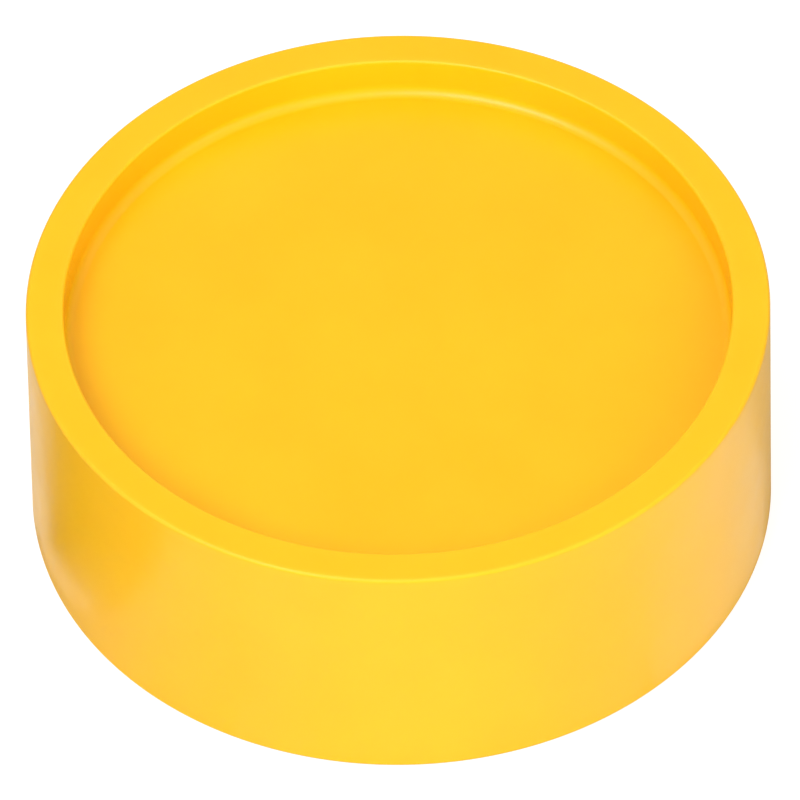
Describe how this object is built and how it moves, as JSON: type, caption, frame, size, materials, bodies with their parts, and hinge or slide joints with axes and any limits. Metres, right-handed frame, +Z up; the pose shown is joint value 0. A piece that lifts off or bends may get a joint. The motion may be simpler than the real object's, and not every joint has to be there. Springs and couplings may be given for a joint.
{
  "type": "raised pavement marker",
  "caption": "Plain round raised pavement marker: a short straight-sided yellow plastic puck, with a thin flat rim around a shallow recessed crown, filled from below with cast compound.",
  "frame": {"origin": "centre of the circle on which the skirt's foot stands on the road", "axes": "+Z up along the axis of the round body; X and Y lie in the road surface, and each runs along a pair of ribs"},
  "size_m": [0.1, 0.1, 0.037],
  "materials": {
    "yellow_plastic": "gloss",
    "cast_compound": "matte"
  },
  "bodies": {
    "root": {"marker_shell": "yellow_plastic", "potting_wedge_1": "cast_compound", "potting_wedge_2": "cast_compound", "potting_wedge_3": "cast_compound", "potting_wedge_4": "cast_compound", "potting_wedge_5": "cast_compound", "potting_wedge_6": "cast_compound", "potting_wedge_7": "cast_compound", "potting_wedge_8": "cast_compound", "hub_plug": "cast_compound"}
  },
  "joints": []
}
